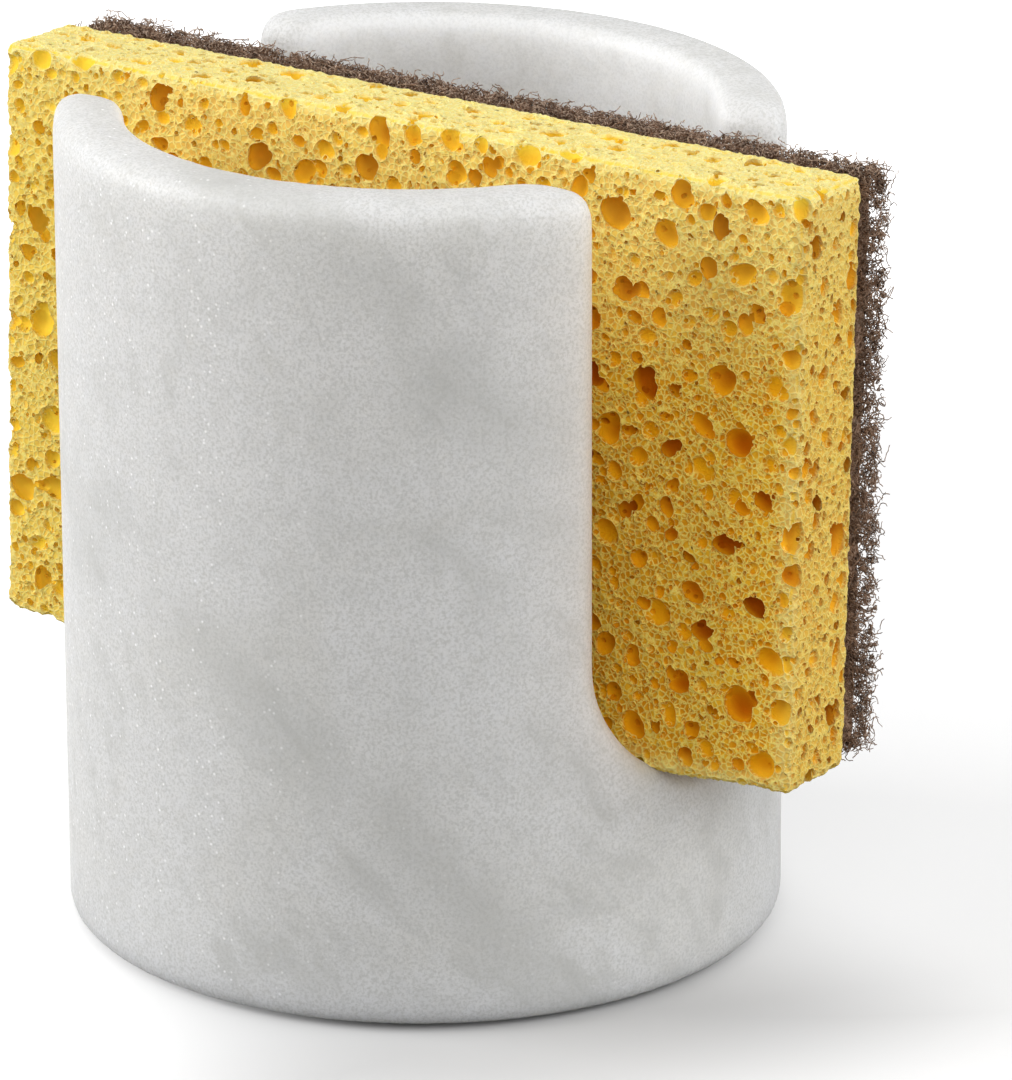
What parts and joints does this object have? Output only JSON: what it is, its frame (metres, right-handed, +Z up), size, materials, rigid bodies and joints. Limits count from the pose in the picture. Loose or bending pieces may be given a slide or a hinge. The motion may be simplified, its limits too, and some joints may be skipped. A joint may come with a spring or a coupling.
{
  "type": "sponge holder",
  "caption": "Round marble cup with a U-shaped slot across it that holds a scrub sponge upright on its long edge; the sponge lifts out, and thin pads keep the stone off the counter.",
  "frame": {"origin": "on the counter under the centre of the cup: the plane the pads stand on, on the cup's axis", "axes": "+X along the slot and the sponge, +Y from the soft yellow face towards the scouring pad, +Z up along the cup's axis"},
  "size_m": [0.1054, 0.08, 0.0936],
  "materials": {
    "marble": "satin",
    "pads": "matte",
    "cellulose": "matte",
    "glue": "matte",
    "scour_fibre": "matte"
  },
  "bodies": {
    "holder": {"marble_body": "marble", "foot_pad_1": "pads", "foot_pad_2": "pads", "foot_pad_3": "pads", "foot_pad_4": "pads"},
    "sponge": {"sponge_block": "cellulose", "adhesive_layer": "glue", "scouring_pad": "scour_fibre"}
  },
  "joints": [
    {"name": "sponge_lift", "type": "slide", "parent": "holder", "child": "sponge", "axis": [0, 0, 1], "range_m": [0, 0.075]}
  ]
}
